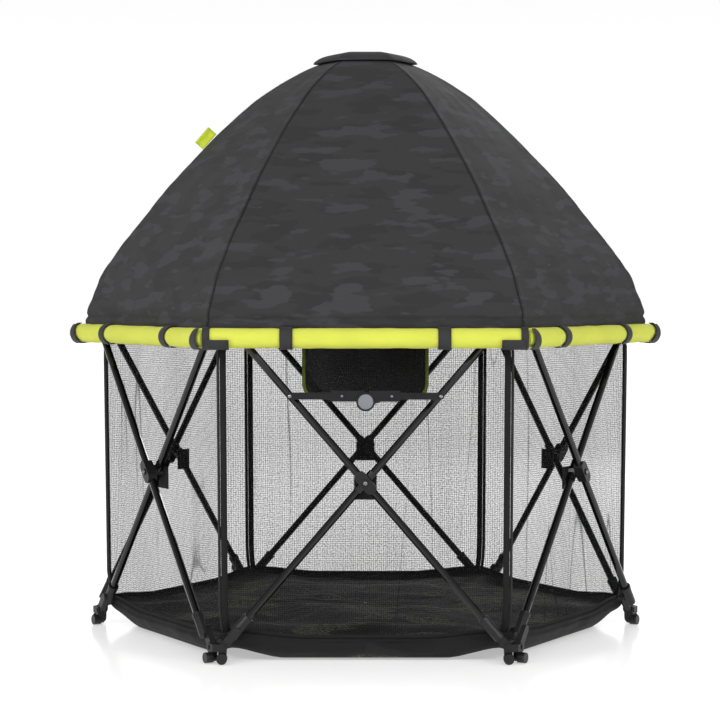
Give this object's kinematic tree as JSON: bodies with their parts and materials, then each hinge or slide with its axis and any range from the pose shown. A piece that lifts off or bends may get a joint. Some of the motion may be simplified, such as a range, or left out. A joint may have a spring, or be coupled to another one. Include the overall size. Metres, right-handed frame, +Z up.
{
  "type": "travel play yard",
  "caption": "Six-sided folding play yard with a scissor tube frame, padded rails, see-through mesh walls, a floor mat and a lift-off domed canopy.",
  "frame": {"origin": "on the floor at the middle of the yard", "axes": "+Z up, -Y out of the side that carries the lock, +X to the right when facing that side"},
  "size_m": [1.302, 1.158, 1.297],
  "materials": {
    "tube_black": "gloss black powder coat",
    "moulded_black": "fine-textured moulded plastic",
    "lock_metal": "satin dark grey coat",
    "button_grey": "matt grey",
    "rail_fabric": "lime woven polyester over foam",
    "black_mesh": "open knitted mesh",
    "mat_fabric": "black woven polyester with a faint blotch print",
    "canopy_fabric": "charcoal woven polyester with a tonal blotch print",
    "pole_fibre": "black glass-fibre rod",
    "webbing_black": "ribbed black webbing",
    "binding_lime": "lime edge binding",
    "rivet_steel": "blackened steel rivet"
  },
  "bodies": {
    "liner": {"floor_mat": "mat_fabric", "mesh_enclosure": "black_mesh", "rail_pad_0": "rail_fabric", "rail_pad_1": "rail_fabric", "rail_pad_2": "rail_fabric", "rail_pad_3": "rail_fabric", "rail_pad_4": "rail_fabric", "rail_pad_5": "rail_fabric", "storage_pocket": "black_mesh"},
    "foot_hub_0": {"foot_hub_0": "moulded_black"},
    "outer_tube_0": {"outer_tube_0": "tube_black", "outer_elbow_0": "moulded_black", "crossing_block_0": "moulded_black"},
    "inner_tube_0": {"inner_tube_0": "tube_black", "inner_elbow_0": "moulded_black"},
    "top_hub_0": {"top_hub_0": "moulded_black"},
    "foot_hub_1": {"foot_hub_1": "moulded_black"},
    "outer_tube_1": {"outer_tube_1": "tube_black", "outer_elbow_1": "moulded_black", "crossing_block_1": "moulded_black"},
    "inner_tube_1": {"inner_tube_1": "tube_black", "inner_elbow_1": "moulded_black"},
    "top_hub_1": {"top_hub_1": "moulded_black"},
    "foot_hub_2": {"foot_hub_2": "moulded_black"},
    "outer_tube_2": {"outer_tube_2": "tube_black", "outer_elbow_2": "moulded_black", "crossing_block_2": "moulded_black"},
    "inner_tube_2": {"inner_tube_2": "tube_black", "inner_elbow_2": "moulded_black"},
    "top_hub_2": {"top_hub_2": "moulded_black"},
    "foot_hub_3": {"foot_hub_3": "moulded_black"},
    "outer_tube_3": {"outer_tube_3": "tube_black", "outer_elbow_3": "moulded_black", "crossing_block_3": "moulded_black"},
    "inner_tube_3": {"inner_tube_3": "tube_black", "inner_elbow_3": "moulded_black"},
    "top_hub_3": {"top_hub_3": "moulded_black"},
    "foot_hub_4": {"foot_hub_4": "moulded_black"},
    "outer_tube_4": {"outer_tube_4": "tube_black", "outer_elbow_4": "moulded_black", "crossing_block_4": "moulded_black"},
    "inner_tube_4": {"inner_tube_4": "tube_black", "inner_elbow_4": "moulded_black"},
    "top_hub_4": {"top_hub_4": "moulded_black"},
    "foot_hub_5": {"foot_hub_5": "moulded_black"},
    "outer_tube_5": {"outer_tube_5": "tube_black", "outer_elbow_5": "moulded_black", "crossing_block_5": "moulded_black"},
    "inner_tube_5": {"inner_tube_5": "tube_black", "inner_elbow_5": "moulded_black"},
    "top_hub_5": {"top_hub_5": "moulded_black"},
    "canopy_frame": {"canopy_pole_0": "pole_fibre", "canopy_pole_1": "pole_fibre", "canopy_pole_2": "pole_fibre"},
    "canopy": {"canopy_fabric": "canopy_fabric", "canopy_cap": "canopy_fabric"},
    "lock_left": {"lock_arm_left": "lock_metal"},
    "lock_right": {"lock_arm_right": "lock_metal"},
    "lock_button": {"lock_button": "button_grey"}
  },
  "joints": [
    {"name": "fold", "type": "hinge", "parent": "foot_hub_0", "child": "inner_tube_0", "pos_m": [-0.29, -0.527, 0.0324], "axis": [0, -1, 0], "range_deg": [0, 33.5], "deforming": ["floor_mat", "mesh_enclosure", "rail_pad_0", "rail_pad_1", "rail_pad_2", "rail_pad_3", "rail_pad_4", "rail_pad_5", "storage_pocket", "canopy_fabric"]},
    {"name": "gather", "type": "slide", "parent": "liner", "child": "foot_hub_0", "axis": [0.5, 0.866, 0], "range_m": [0, 0.47727]},
    {"name": "cross_0", "type": "hinge", "parent": "inner_tube_0", "child": "outer_tube_0", "pos_m": [0, -0.527, 0.369], "axis": [0, -1, 0], "range_deg": [-68.34, 0]},
    {"name": "foot_right_0", "type": "hinge", "parent": "outer_tube_0", "child": "foot_hub_1", "pos_m": [0.29, -0.527, 0.0324], "axis": [0, -1, 0], "range_deg": [0, 34.17]},
    {"name": "foot_left_1", "type": "hinge", "parent": "foot_hub_1", "child": "inner_tube_1", "pos_m": [0.31139, -0.51465, 0.0324], "axis": [0.866, -0.5, 0], "range_deg": [0, 34.17]},
    {"name": "cross_1", "type": "hinge", "parent": "inner_tube_1", "child": "outer_tube_1", "pos_m": [0.45639, -0.2635, 0.369], "axis": [0.866, -0.5, 0], "range_deg": [-68.34, 0]},
    {"name": "foot_right_1", "type": "hinge", "parent": "outer_tube_1", "child": "foot_hub_2", "pos_m": [0.6014, -0.01235, 0.0324], "axis": [0.866, -0.5, 0], "range_deg": [0, 34.17]},
    {"name": "foot_left_2", "type": "hinge", "parent": "foot_hub_2", "child": "inner_tube_2", "pos_m": [0.6014, 0.01235, 0.0324], "axis": [0.866, 0.5, 0], "range_deg": [0, 34.17]},
    {"name": "cross_2", "type": "hinge", "parent": "inner_tube_2", "child": "outer_tube_2", "pos_m": [0.45639, 0.2635, 0.369], "axis": [0.866, 0.5, 0], "range_deg": [-68.34, 0]},
    {"name": "foot_right_2", "type": "hinge", "parent": "outer_tube_2", "child": "foot_hub_3", "pos_m": [0.31139, 0.51465, 0.0324], "axis": [0.866, 0.5, 0], "range_deg": [0, 34.17]},
    {"name": "foot_right_5", "type": "hinge", "parent": "foot_hub_0", "child": "outer_tube_5", "pos_m": [-0.31139, -0.51465, 0.0324], "axis": [-0.866, -0.5, 0], "range_deg": [-34.17, 0]},
    {"name": "cross_5", "type": "hinge", "parent": "outer_tube_5", "child": "inner_tube_5", "pos_m": [-0.45639, -0.2635, 0.369], "axis": [-0.866, -0.5, 0], "range_deg": [0, 68.34]},
    {"name": "foot_left_5", "type": "hinge", "parent": "inner_tube_5", "child": "foot_hub_5", "pos_m": [-0.6014, -0.01235, 0.0324], "axis": [-0.866, -0.5, 0], "range_deg": [-34.17, 0]},
    {"name": "foot_right_4", "type": "hinge", "parent": "foot_hub_5", "child": "outer_tube_4", "pos_m": [-0.6014, 0.01235, 0.0324], "axis": [-0.866, 0.5, 0], "range_deg": [-34.17, 0]},
    {"name": "cross_4", "type": "hinge", "parent": "outer_tube_4", "child": "inner_tube_4", "pos_m": [-0.45639, 0.2635, 0.369], "axis": [-0.866, 0.5, 0], "range_deg": [0, 68.34]},
    {"name": "foot_left_4", "type": "hinge", "parent": "inner_tube_4", "child": "foot_hub_4", "pos_m": [-0.31139, 0.51465, 0.0324], "axis": [-0.866, 0.5, 0], "range_deg": [-34.17, 0]},
    {"name": "foot_right_3", "type": "hinge", "parent": "foot_hub_4", "child": "outer_tube_3", "pos_m": [-0.29, 0.527, 0.0324], "axis": [0, 1, 0], "range_deg": [-34.17, 0]},
    {"name": "cross_3", "type": "hinge", "parent": "outer_tube_3", "child": "inner_tube_3", "pos_m": [0, 0.527, 0.369], "axis": [0, 1, 0], "range_deg": [0, 68.34]},
    {"name": "top_0", "type": "hinge", "parent": "outer_tube_0", "child": "top_hub_0", "pos_m": [-0.29, -0.527, 0.7056], "axis": [0, -1, 0], "range_deg": [0, 34.17]},
    {"name": "top_1", "type": "hinge", "parent": "outer_tube_1", "child": "top_hub_1", "pos_m": [0.31139, -0.51465, 0.7056], "axis": [0.866, -0.5, 0], "range_deg": [0, 34.17]},
    {"name": "top_2", "type": "hinge", "parent": "outer_tube_2", "child": "top_hub_2", "pos_m": [0.6014, 0.01235, 0.7056], "axis": [0.866, 0.5, 0], "range_deg": [0, 34.17]},
    {"name": "top_3", "type": "hinge", "parent": "outer_tube_3", "child": "top_hub_3", "pos_m": [0.29, 0.527, 0.7056], "axis": [0, 1, 0], "range_deg": [0, 34.17]},
    {"name": "top_4", "type": "hinge", "parent": "outer_tube_4", "child": "top_hub_4", "pos_m": [-0.31139, 0.51465, 0.7056], "axis": [-0.866, 0.5, 0], "range_deg": [0, 34.17]},
    {"name": "top_5", "type": "hinge", "parent": "outer_tube_5", "child": "top_hub_5", "pos_m": [-0.6014, -0.01235, 0.7056], "axis": [-0.866, -0.5, 0], "range_deg": [0, 34.17]},
    {"name": "canopy_rise", "type": "slide", "parent": "liner", "child": "canopy_frame", "axis": [0, 0, 1], "range_m": [0, 0.21246]},
    {"name": "canopy_lift", "type": "slide", "parent": "canopy_frame", "child": "canopy", "axis": [0, 0, 1], "range_m": [0, 0.6]},
    {"name": "lock_left_pivot", "type": "hinge", "parent": "outer_tube_0", "child": "lock_left", "pos_m": [-0.15208, -0.527, 0.54552], "axis": [0, -1, 0], "range_deg": [0, 114.6]},
    {"name": "lock_right_pivot", "type": "hinge", "parent": "inner_tube_0", "child": "lock_right", "pos_m": [0.15208, -0.527, 0.54552], "axis": [0, -1, 0], "range_deg": [-114.6, 0]},
    {"name": "lock_press", "type": "slide", "parent": "lock_right", "child": "lock_button", "axis": [0, 1, 0], "range_m": [0, 0.004], "stiffness_N_per_m": 400}
  ],
  "couplings": [
    {"joint": "gather", "follows": "fold", "m_per_rad": 0.80028},
    {"joint": "cross_0", "follows": "fold", "ratio": -2},
    {"joint": "foot_right_0", "follows": "fold", "ratio": 1},
    {"joint": "foot_left_1", "follows": "fold", "ratio": 1},
    {"joint": "cross_1", "follows": "fold", "ratio": -2},
    {"joint": "foot_right_1", "follows": "fold", "ratio": 1},
    {"joint": "foot_left_2", "follows": "fold", "ratio": 1},
    {"joint": "cross_2", "follows": "fold", "ratio": -2},
    {"joint": "foot_right_2", "follows": "fold", "ratio": 1},
    {"joint": "foot_right_5", "follows": "fold", "ratio": -1},
    {"joint": "cross_5", "follows": "fold", "ratio": 2},
    {"joint": "foot_left_5", "follows": "fold", "ratio": -1},
    {"joint": "foot_right_4", "follows": "fold", "ratio": -1},
    {"joint": "cross_4", "follows": "fold", "ratio": 2},
    {"joint": "foot_left_4", "follows": "fold", "ratio": -1},
    {"joint": "foot_right_3", "follows": "fold", "ratio": -1},
    {"joint": "cross_3", "follows": "fold", "ratio": 2},
    {"joint": "top_0", "follows": "fold", "ratio": 1},
    {"joint": "top_1", "follows": "fold", "ratio": 1},
    {"joint": "top_2", "follows": "fold", "ratio": 1},
    {"joint": "top_3", "follows": "fold", "ratio": 1},
    {"joint": "top_4", "follows": "fold", "ratio": 1},
    {"joint": "top_5", "follows": "fold", "ratio": 1},
    {"joint": "canopy_rise", "follows": "fold", "m_per_rad": 0.35625},
    {"joint": "lock_left_pivot", "follows": "fold", "ratio": 3.3539},
    {"joint": "lock_right_pivot", "follows": "fold", "ratio": -3.3539}
  ]
}
